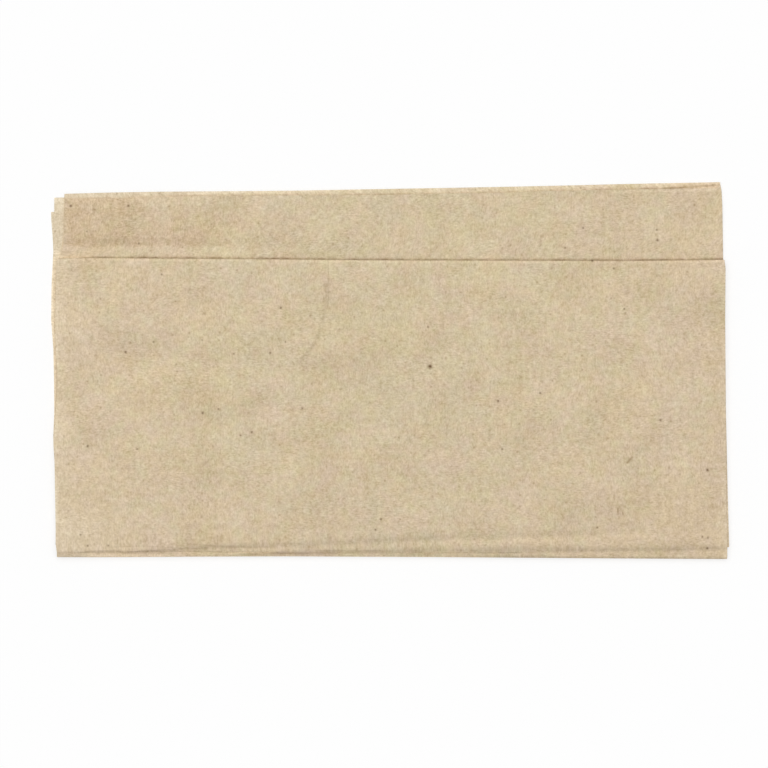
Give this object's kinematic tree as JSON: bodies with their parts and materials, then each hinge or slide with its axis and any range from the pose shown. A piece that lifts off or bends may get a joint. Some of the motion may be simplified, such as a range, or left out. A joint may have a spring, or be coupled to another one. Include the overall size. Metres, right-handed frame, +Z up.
{
  "type": "paper napkin",
  "caption": "Square brown paper napkin, folded in half, in half again and once more off its centre, lying flat with a strip of its back leaves showing.",
  "frame": {"origin": "on the table, under the middle of the folded napkin's box", "axes": "+X along the long side, towards the upright fold; +Y from the bottom fold to the raw back edges; +Z up, out of the face that shows"},
  "size_m": [0.167, 0.0928, 0.0021],
  "materials": {
    "tissue": "matt creped tissue, unbleached brown with fine dark specks"
  },
  "bodies": {
    "root": {"napkin": "tissue"}
  },
  "joints": []
}
